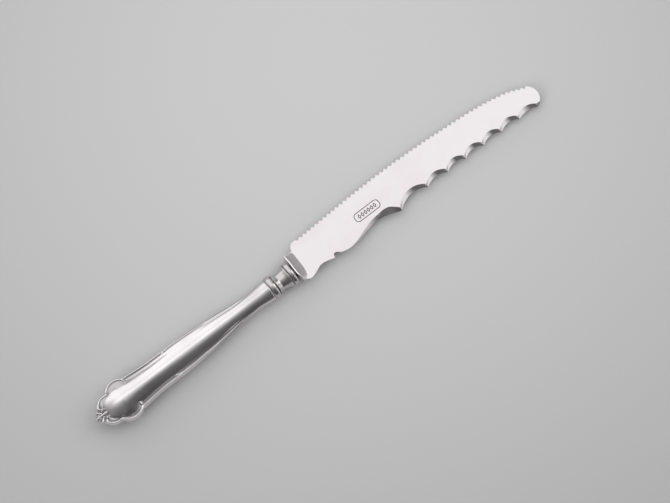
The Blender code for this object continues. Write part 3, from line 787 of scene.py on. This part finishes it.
def shell_shape(level):
    """The upper shell for level 1, and its mirror image below the seam for level -1."""
    shape = bmesh.new()
    layer = shape.verts.layers.float.new("hollow")
    outer, hollows = outer_ribs()
    inner = inner_ribs()
    known = {}

    def vert(point, side, hollow):
        spot = (point[0], point[1] * side, point[2] * level)
        key = tuple(round(value, 5) + 0.0 for value in spot)
        if key not in known:
            drop = BEND * (1 - ease(spot[0] / HANDLE_LENGTH))
            known[key] = shape.verts.new(place((spot[0], spot[1] - drop, spot[2])))
            known[key][layer] = hollow
        return known[key]

    def face(*corners):
        corners = list(dict.fromkeys(corners))
        if len(corners) > 2:
            shape.faces.new(corners)

    for side in (1, -1):
        out = [[vert(p, side, h) for p, h in zip(rib, row)] for rib, row in zip(outer, hollows)]
        inn = [[vert(p, side, 0.0) for p in rib] for rib in inner]
        for grid in (out, inn):
            for a, b in zip(grid, grid[1:]):
                for j in range(len(a) - 1):
                    face(a[j], b[j], b[j + 1], a[j + 1])
        for a, b, c, d in zip(out, out[1:], inn, inn[1:]):
            face(a[0], b[0], d[-1], c[-1])
        face(*out[-1], *inn[-1])
    soften(shape, SHELL_CREASE)
    return shape


add_piece("front_shell", shell_shape(1), "handle_front_shell", handle_silver)
add_piece("back_shell", shell_shape(-1), "handle_back_shell", handle_silver)


# Ferrule

def bead(x, length, foot, crest, count):
    """A round bead along the axis: x from the handle's mouth and half-width, step by step."""
    turns = [math.pi * k / count for k in range(count + 1)]
    return [
        (x + length * (1 - math.cos(a)) / 2, foot + (crest - foot) * math.sin(a) ** BEAD_POWER)
        for a in turns
    ]


def ferrule_profile():
    """Half-width along the axis: bead, groove, cove, groove, bead, neck, and how hollow each is."""
    stations = spread(COVE[0][0], COVE[-1][0], COVE_STEPS) + [COVE[-1][0]]
    parts = (
        (((0.0, REAR_FACE_HALF),), 1.0),
        (bead(*REAR_BEAD)[1:], 0.0),
        (REAR_GROOVE, 1.0),
        ([(x, smooth(COVE, x)) for x in stations], 0.0),
        (FRONT_GROOVE, 1.0),
        (bead(*FRONT_BEAD), 0.0),
        (FRONT_NECK, 1.0),
    )
    return [(HANDLE_LENGTH + x, half, hollow) for part, hollow in parts for x, half in part]


def ferrule_shape():
    shape = bmesh.new()
    layer = shape.verts.layers.float.new("hollow")
    turns = [2 * math.pi * k / FERRULE_STEPS for k in range(FERRULE_STEPS)]

    def outer_ring(x, half):
        ring = []
        for a in turns:
            y = math.copysign(half * abs(math.cos(a)) ** FERRULE_LEAN, math.cos(a))
            z = math.copysign(half * FERRULE_OVAL * abs(math.sin(a)) ** FERRULE_LEAN, math.sin(a))
            ring.append((x, y, z))
        return ring

    def slot_ring(x):
        ring = []
        for a in turns:
            c, s = math.cos(a), math.sin(a)
            reach = 1.0 / max(abs(c) / SLOT_HALF[0], abs(s) / SLOT_HALF[1])
            ring.append((x, reach * c, reach * s))
        return ring

    def socket_ring(x):
        return [(x, SOCKET_HALF[0] * math.cos(a), SOCKET_HALF[1] * math.sin(a)) for a in turns]

    front = HANDLE_LENGTH + FERRULE_LENGTH
    socket = HANDLE_LENGTH + SPIGOT_LENGTH + FIT
    rings = [(outer_ring(x, half), hollow) for x, half, hollow in ferrule_profile()]
    rings += [(slot_ring(x), 1.0) for x in (front, socket)]
    rings += [(socket_ring(x), 1.0) for x in (socket, HANDLE_LENGTH)]
    rows = []
    for ring, hollow in rings:
        rows.append([shape.verts.new(place(point)) for point in ring])
        for corner in rows[-1]:
            corner[layer] = hollow
    skin(shape, rows + rows[:1])
    soften(shape, FERRULE_CREASE)
    return shape


add_piece("collar", ferrule_shape(), "ferrule", ferrule_silver)


# Blade

def edge_points():
    """The edge from the heel to the tip: x, y on the flat side and the grind's set-back."""
    points = []
    for low, high in zip(HEEL, HEEL[1:]):
        points += [(x, smooth(HEEL, x), 0.0) for x in spread(low[0], high[0], 16)]
    for low, high in zip(NICK, NICK[1:]):
        for x in spread(low[0], high[0], 5):
            share = (x - NICK[0][0]) / (NICK[-1][0] - NICK[0][0])
            grind = NICK_GRIND * math.sin(math.pi * share ** NICK_LEAN)
            points.append((x, smooth(NICK, x), grind))
    points += [(x, smooth(SWEEP, x), 0.0) for x in spread(SWEEP[0][0], SWEEP[1][0], 8)]
    for x in spread(SWEEP[1][0], SWEEP[-1][0], 48):
        points.append((x, smooth(SWEEP, x), smooth(SWEEP_GRIND, x)))
    run = EDGE_END[0] - SWEEP[-1][0] - FIRST_SCALLOP_WIDTH - SECOND_SCALLOP_WIDTH
    count = round(run / SCALLOP_PITCH)
    widths = [FIRST_SCALLOP_WIDTH, SECOND_SCALLOP_WIDTH] + [run / count] * count
    depths = [FIRST_SCALLOP_DEPTH] + [SCALLOP_DEPTH] * count + [LAST_SCALLOP_DEPTH]
    start = SWEEP[-1]
    for k, (width, depth) in enumerate(zip(widths, depths)):
        last = k == len(widths) - 1
        stop = (start[0] + width, -EDGE_Y - EDGE_DROP * k / (len(widths) - 1))
        if last:
            stop = EDGE_END
        for x, y in arc(start, stop, depth, 32):
            share = max((x - start[0]) / width, 0.0)
            cusp = CUSP_GRIND + (TIP_GRIND - CUSP_GRIND) * share if last else CUSP_GRIND
            hollow = math.sin(math.pi * share) ** GRIND_POWER
            points.append((x, y, cusp + (GRIND - CUSP_GRIND) * hollow))
        start = stop
    return points


def tip_points():
    """The round tip, from the edge to the saw back."""
    chord_x = (EDGE_END[0] + TIP_START_BACK[0]) / 2
    ends = arc(EDGE_END, TIP_START_BACK, chord_x - BLADE_LENGTH, 40)
    return [(x, y, max(EDGE_END[1] + TIP_GRIND - y, 0.0)) for x, y in ends]


def back_points():
    """The saw teeth along the back, from the tip to the heel."""
    end = BACK[-1][0]
    path = [(x, smooth(BACK, x)) for x in spread(end, SAW_START, BACK_STEPS) + [SAW_START]]
    walked = np.array(walk(path))
    count = round(walked[-1] / TOOTH_PITCH)
    points = []
    for k in range(count):
        for share, depth in TOOTH:
            i = int(np.searchsorted(walked, walked[-1] * (k + share) / count))
            x, y = path[min(i, len(path) - 1)]
            points.append((x, y - TOOTH_DEPTH * depth, 0.0))
    points.append((*path[-1], 0.0))
    points += [(x, y, 0.0) for x, y in arc(BACK[0], (0.0, BOLSTER_TOP), BACK_HOLLOW, 16)]
    return points + [(0.0, BOLSTER_TOP, 0.0), (-PLATE_LAP, BOLSTER_TOP - PLATE_LAP, 0.0)]


def inset(points, amount):
    """A closed outline moved inward at each point by its amount."""
    flat = np.array(points)
    ahead = np.roll(flat, -1, axis=0) - flat
    ahead /= np.linalg.norm(ahead, axis=1)[:, None]
    behind = np.roll(ahead, 1, axis=0)
    middle = ahead + behind
    middle /= np.linalg.norm(middle, axis=1)[:, None]
    left = np.stack([-middle[:, 1], middle[:, 0]], axis=1)
    lean = np.clip((middle * ahead).sum(axis=1), MITRE_LIMIT, 1.0)
    return flat + left * (np.array(amount) / lean)[:, None]


def loft(rings):
    """A closed shape through the rings, with a flat cap at each end."""
    shape = bmesh.new()
    rows = [[shape.verts.new(place(p)) for p in ring] for ring in rings]
    skin(shape, rows)
    shape.faces.new(rows[0])
    shape.faces.new(rows[-1])
    return shape


def plate_shape():
    """The blade's plate, from its flat side up through the grind to the ground side."""
    plan = edge_points() + tip_points() + back_points()
    low = [(x, y) for x, y, grind in plan]
    high = [(x, y + grind) for x, y, grind in plan]
    ground = [min(grind / CUSP_GRIND, 1.0) for x, y, grind in plan]
    chamfer = [EDGE_CHAMFER * (1 - g) for g in ground]
    rings = []

    def ring(flat, levels):
        rings.append([(BLADE_X + p[0], p[1], z) for p, z in zip(flat, levels)])

    ring(inset(low, chamfer), [-HALF_THICK] * len(plan))
    ring(low, [-HALF_THICK + c + EDGE_LAND * g for c, g in zip(chamfer, ground)])
    for k in range(1, GRIND_ROWS):
        share = k / GRIND_ROWS
        bow = HOLLOW_GRIND * math.sin(math.pi * share)
        flat = [
            (x, y + grind * share + bow * g * (x > SWEEP[-1][0]))
            for (x, y, grind), g in zip(plan, ground)
        ]
        ring(flat, [-HALF_THICK + 2 * HALF_THICK * share] * len(plan))
    ring(high, [HALF_THICK - max(c, BREAK_DROP) for c in chamfer])
    ring(inset(high, [max(c, BREAK_INSET) for c in chamfer]), [HALF_THICK] * len(plan))
    return loft(rings)


def bolster_rings():
    """Slices of the bolster from the saw back's side to the edge's side: rim, slope and root."""
    slope = (BOLSTER_CROWN - HALF_THICK) / (BLADE_X - BOLSTER_X - BOLSTER_RIM)
    root = HALF_THICK - ROOT_SINK
    rings = []
    for k in range(2, BOLSTER_STEPS - 1):
        turn = math.pi * k / BOLSTER_STEPS
        upward = math.cos(turn) >= 0
        reach = BOLSTER_TOP if upward else BOLSTER_BOTTOM
        power = TOP_POWER if upward else BOTTOM_POWER
        y = math.copysign(reach * abs(math.cos(turn)) ** (2 / power), math.cos(turn))
        z = max(BOLSTER_CROWN * math.sin(turn) ** (2 / power), HALF_THICK + LEAST_RIM)
        away = max(-SETBACK_START - y, 0.0) / (BOLSTER_BOTTOM - SETBACK_START)
        rear = BOLSTER_X + BOLSTER_SETBACK * away ** 2
        side = [(rear + x, z - drop) for x, drop in RIM_PROFILE]
        side.append((side[-1][0] + (side[-1][1] - root) / slope, root))
        side.append((BLADE_X + BOLSTER_RIM, root - ROOT_SINK))
        rings.append([(x, y, h) for x, h in side] + [(x, y, -h) for x, h in reversed(side)])
    return rings


def tang_rings():
    """The tang's lower and upper face."""
    side = [
        (BOLSTER_X - TANG_LENGTH, TANG_END_HALF),
        (BOLSTER_X, TANG_HALF),
        (BOLSTER_X + TANG_LAP, TANG_HALF),
    ]
    plan = side + [(x, -y) for x, y in reversed(side)]
    return [[(x, y, z) for x, y in plan] for z in (-TANG_HALF_THICK, TANG_HALF_THICK)]


def rounded_frame(length, width, radius, count):
    """A rectangle with round corners, about its centre."""
    points = []
    for corner in range(4):
        cx = (length / 2 - radius) * (1 if corner in (0, 3) else -1)
        cy = (width / 2 - radius) * (1 if corner in (0, 1) else -1)
        for k in range(count + 1):
            a = math.pi / 2 * (corner + k / count)
            points.append((cx + radius * math.cos(a), cy + radius * math.sin(a)))
    return points


def groove_ring(shape, outline, centre):
    """A closed cutter that follows an outline with a groove's width and depth."""
    flat = [(centre[0] + x, centre[1] + y) for x, y in outline]
    outer = inset(flat, [-MARK_LINE / 2] * len(flat))
    inner = inset(flat, [MARK_LINE / 2] * len(flat))
    over = HALF_THICK + MARK_OVER
    under = HALF_THICK - MARK_DEPTH
    rings = [(outer, over), (outer, under), (inner, under), (inner, over)]
    rows = [[shape.verts.new(place((p[0], p[1], z))) for p in ring] for ring, z in rings]
    skin(shape, rows + rows[:1])


def mark_shape():
    """A plain frame with a row of lozenges in it."""
    shape = bmesh.new()
    groove_ring(shape, rounded_frame(*MARK_FRAME), MARK_CENTRE)
    for k in range(LOZENGE_COUNT):
        x = MARK_CENTRE[0] + (k - (LOZENGE_COUNT - 1) / 2) * LOZENGE_PITCH
        groove_ring(shape, LOZENGE, (x, MARK_CENTRE[1]))
    return shape


def combined(target, steps):
    """The target's mesh after Boolean steps with other temporary objects, all of them removed."""
    for other, operation in steps:
        step = target.modifiers.new(other.name, "BOOLEAN")
        step.operation = operation
        step.solver = "EXACT"
        step.object = other
    depsgraph = bpy.context.evaluated_depsgraph_get()
    shape = bmesh.new()
    shape.from_object(target, depsgraph)
    for thing in [target] + [other for other, operation in steps]:
        bpy.data.objects.remove(thing)
    return shape


def shade_blade(shape):
    """Marks the engraved faces, the grind faces with painted shade, and those with a satin finish.
    """
    engraving_and_painted_shade = shape.faces.layers.float.new("engraving_and_painted_shade")
    satin = shape.faces.layers.float.new("satin")
    face_z = place((0, 0, HALF_THICK)).z
    ramp_end, nick_start, nick_end, sweep_start, sweep_end, tip_start = (
        place((BLADE_X + x, 0, 0)).x
        for x in (
            RAMP_END, NICK[0][0], NICK[-1][0], SWEEP_SHADE_START, SWEEP[-1][0], EDGE_END[0],
        )
    )
    low = place((MARK_CENTRE[0] - MARK_REACH[0], MARK_CENTRE[1] - MARK_REACH[1], 0))
    high = place((MARK_CENTRE[0] + MARK_REACH[0], MARK_CENTRE[1] + MARK_REACH[1], 0))
    for f in shape.faces:
        middle = f.calc_center_median()
        within = low.x < middle.x < high.x and low.y < middle.y < high.y
        sunk = MARK_LEVELS[0] * MM < face_z - middle.z < MARK_LEVELS[1] * MM
        f[engraving_and_painted_shade] = 1.0 if within and sunk else 0.0
        ground = f.normal.y < -GROUND_TURN and f.normal.z > GROUND_TURN
        steep = ground and f.normal.z < STEEP_TURN
        # Painted shade on the grind faces of the sweep, the nick and the tip
        if ground and sweep_start < middle.x < sweep_end:
            run = SWEEP_SHADE_RUN * (sweep_end - sweep_start)
            f[engraving_and_painted_shade] = SWEEP_PAINTED_SHADE * ease((middle.x - sweep_start) / run)
        if steep and nick_start < middle.x < nick_end:
            f[engraving_and_painted_shade] = NICK_PAINTED_SHADE
        if steep and middle.x > tip_start:
            f[engraving_and_painted_shade] = TIP_PAINTED_SHADE
        if middle.x < ramp_end and RAMP_TURN[0] < f.normal.x < RAMP_TURN[1]:
            f[satin] = RAMP_SATIN
        elif abs(f.normal.z) > FACE_TURN:
            f[satin] = FACE_SATIN


def blade_shape():
    """Plate, bolster and tang in one, with the mark cut out."""
    shape = combined(solid_object("plate", plate_shape()), [
        (solid_object("bolster", loft(bolster_rings())), "UNION"),
        (solid_object("tang", loft(tang_rings())), "UNION"),
        (solid_object("mark", mark_shape()), "DIFFERENCE"),
    ])
    soften(shape, BLADE_CREASE)
    shade_blade(shape)
    return shape


add_piece("blade_and_bolster", blade_shape(), "blade", blade_steel)


# Floor: the knife rests on the head of its handle and on the ferrule's front bead

HEAD_REST = place((HEAD_X, 0, -HEAD_CROWN))
BEAD_REST = place((HANDLE_LENGTH + 10.0, 0, -FRONT_BEAD_CREST * FERRULE_OVAL))
FLOOR_RADIUS = 5.0
FLOOR_GAP = 0.00002
# A pool of light painted into the floor's colour, brightest past the blade, darker out to its rim
PAINTED_POOL_CENTRE = (0.152, 0.069, 0.0)
PAINTED_POOL_RADIUS = 0.34
PAPER_IN_PAINTED_LIGHT = (0.655, 0.655, 0.655)
PAPER_OUTSIDE_PAINTED_LIGHT = (0.39, 0.39, 0.39)
PAPER_GRAIN = (0.5, 0.5, 0.5)
GRAIN_SHARE = 0.03


def paper_material():
    """Matt paper, with a painted pool of light that is brightest past the blade."""
    material, tree, shader = new_material("floor_paper")
    where = new_node(tree, "ShaderNodeTexCoord")
    offset = new_node(tree, "ShaderNodeVectorMath", operation="DISTANCE")
    offset.inputs[1].default_value = PAINTED_POOL_CENTRE
    tree.links.new(where.outputs["Object"], offset.inputs[0])
    # Painted pool of light in the paper's colour
    painted_pool = ramp(tree, offset.outputs["Value"], 0.0, PAINTED_POOL_RADIUS)
    pale = mix_colour(tree, painted_pool, PAPER_IN_PAINTED_LIGHT, PAPER_OUTSIDE_PAINTED_LIGHT)
    grain = noise(tree, where.outputs["Object"], 900.0, 2.0)
    specks = ramp(tree, grain, 0.3, 0.7, 0.0, GRAIN_SHARE)
    tree.links.new(mix_colour(tree, specks, pale, PAPER_GRAIN), shader.inputs["Base Color"])
    shader.inputs["Roughness"].default_value = 0.9
    shader.inputs["Specular IOR Level"].default_value = 0.1
    return material


tilt = math.atan2(BEAD_REST.z - HEAD_REST.z, BEAD_REST.x - HEAD_REST.x)
disc = bmesh.new()
bmesh.ops.create_circle(disc, cap_ends=True, segments=96, radius=FLOOR_RADIUS)
floor = new_object("floor", disc)
floor.rotation_euler = (0.0, -tilt, 0.0)
floor.location = HEAD_REST - Vector((math.sin(-tilt), 0.0, math.cos(tilt))) * FLOOR_GAP
floor.data.materials.append(paper_material())


# Light: a soft dome, bright overhead and on the saw back's side, dim on the edge's side

DOME_LOBES = ((30, 98), (78, 94))  # degrees from overhead, azimuth
DOME_STOPS = (
    (0.0, 0.05), (0.5, 0.085), (0.68, 0.15), (0.78, 0.34), (0.86, 0.52), (0.92, 0.72),
    (0.965, 1.0), (1.0, 1.0),
)
FILL_LOBES = (  # degrees from overhead, azimuth, cosine at the rim and at the core, level
    (42, -30, 0.86, 0.97, 0.2), (46, -8, 0.87, 0.97, 1.0), (65, -140, 0.68, 0.9, 0.03),
)
DOME_STRENGTH = 1.2


def light_world():
    world = bpy.data.worlds.new("studio")
    bpy.context.scene.world = world
    world.use_nodes = True
    tree = world.node_tree
    where = new_node(tree, "ShaderNodeTexCoord")

    def facing(degrees, azimuth):
        """Cosine of the angle between a ray and a direction of the sky."""
        a, b = math.radians(degrees), math.radians(azimuth)
        toward = Vector((math.sin(a) * math.cos(b), math.sin(a) * math.sin(b), math.cos(a)))
        made = new_node(tree, "ShaderNodeVectorMath", operation="DOT_PRODUCT")
        made.inputs[1].default_value = toward.normalized()
        tree.links.new(where.outputs["Generated"], made.inputs[0])
        return made.outputs["Value"]

    def grey(level):
        return (level, level, level, 1.0)

    nearest = maths(tree, "MAXIMUM", *(facing(*lobe) for lobe in DOME_LOBES))
    curve = new_node(tree, "ShaderNodeValToRGB")
    stops = curve.color_ramp
    stops.interpolation = "B_SPLINE"
    for element, (position, level) in zip(stops.elements, (DOME_STOPS[0], DOME_STOPS[-1])):
        element.position = position
        element.color = grey(level)
    for position, level in DOME_STOPS[1:-1]:
        stops.elements.new(position).color = grey(level)
    tree.links.new(maths(tree, "MULTIPLY_ADD", nearest, 0.5, 0.5), curve.inputs["Fac"])
    fills = [
        ramp(tree, facing(degrees, azimuth), rim, core, 0.0, level)
        for degrees, azimuth, rim, core, level in FILL_LOBES
    ]
    fill = fills[0]
    for more in fills[1:]:
        fill = maths(tree, "ADD", fill, more)
    background = tree.nodes["Background"]
    tree.links.new(maths(tree, "ADD", curve.outputs["Color"], fill), background.inputs["Color"])
    background.inputs["Strength"].default_value = DOME_STRENGTH


def area_light(name, width, height, power):
    light = bpy.data.lights.new(name, "AREA")
    light.shape = "RECTANGLE"
    light.size, light.size_y = width, height
    light.energy = power
    lamp = bpy.data.objects.new(name, light)
    bpy.context.scene.collection.objects.link(lamp)
    return lamp


light_world()

# Soft panels that stand on the edge's side, past the handle, each brighter than the one before it
PANELS = ((0.09, 0.15, 0.25), (0.15, 0.21, 0.5), (0.21, 0.76, 0.8))  # x of both ends, level
PANEL_Y = -0.38
PANEL_LOW = 0.006
PANEL_HEIGHT = 0.354
for left, right, level in PANELS:
    power = math.pi * (right - left) * PANEL_HEIGHT * level
    panel = area_light("panel", right - left, PANEL_HEIGHT, power)
    panel.location = ((left + right) / 2, PANEL_Y, PANEL_LOW + PANEL_HEIGHT / 2)
    panel.rotation_euler = (math.pi / 2, 0.0, 0.0)

# A soft lamp past the butt that lifts the shadows on the floor and is not mirrored
LIFT_PLACE = Vector((-0.75, -0.12, 0.55))
LIFT_SIZE = 0.5
LIFT_POWER = 2.2
lift = area_light("lift", LIFT_SIZE, LIFT_SIZE, LIFT_POWER)
lift.location = LIFT_PLACE
lift.rotation_euler = (-LIFT_PLACE).to_track_quat("-Z", "Y").to_euler()
lift.visible_glossy = False


# Camera, fitted to the photograph's frame

IMAGE_WIDTH, IMAGE_HEIGHT = 670, 503
AZIMUTH, ELEVATION = math.radians(-37.772), math.radians(78.0)
TARGET = place((105.0, 1.0, 0.0))
DISTANCE = 1.5
FOCUS = 2645.2
MIDDLE = (315.25, 251.65)
SENSOR = 36.0


def add_camera():
    across = Vector((math.cos(AZIMUTH), math.sin(AZIMUTH), 0.0))
    back = Vector((
        math.sin(AZIMUTH) * math.cos(ELEVATION),
        -math.cos(AZIMUTH) * math.cos(ELEVATION),
        math.sin(ELEVATION),
    ))
    up = back.cross(across)
    data = bpy.data.cameras.new("camera")
    data.sensor_width = SENSOR
    data.lens = FOCUS * DISTANCE * SENSOR / IMAGE_WIDTH
    data.shift_x = -(MIDDLE[0] - IMAGE_WIDTH / 2) / IMAGE_WIDTH
    data.shift_y = (MIDDLE[1] - IMAGE_HEIGHT / 2) / IMAGE_WIDTH
    camera = bpy.data.objects.new("camera", data)
    bpy.context.scene.collection.objects.link(camera)
    turn = Matrix((across, up, back)).transposed().to_4x4()
    camera.matrix_world = Matrix.Translation(TARGET + back * DISTANCE) @ turn
    bpy.context.scene.camera = camera


add_camera()
bpy.context.scene.view_settings.view_transform = "Standard"
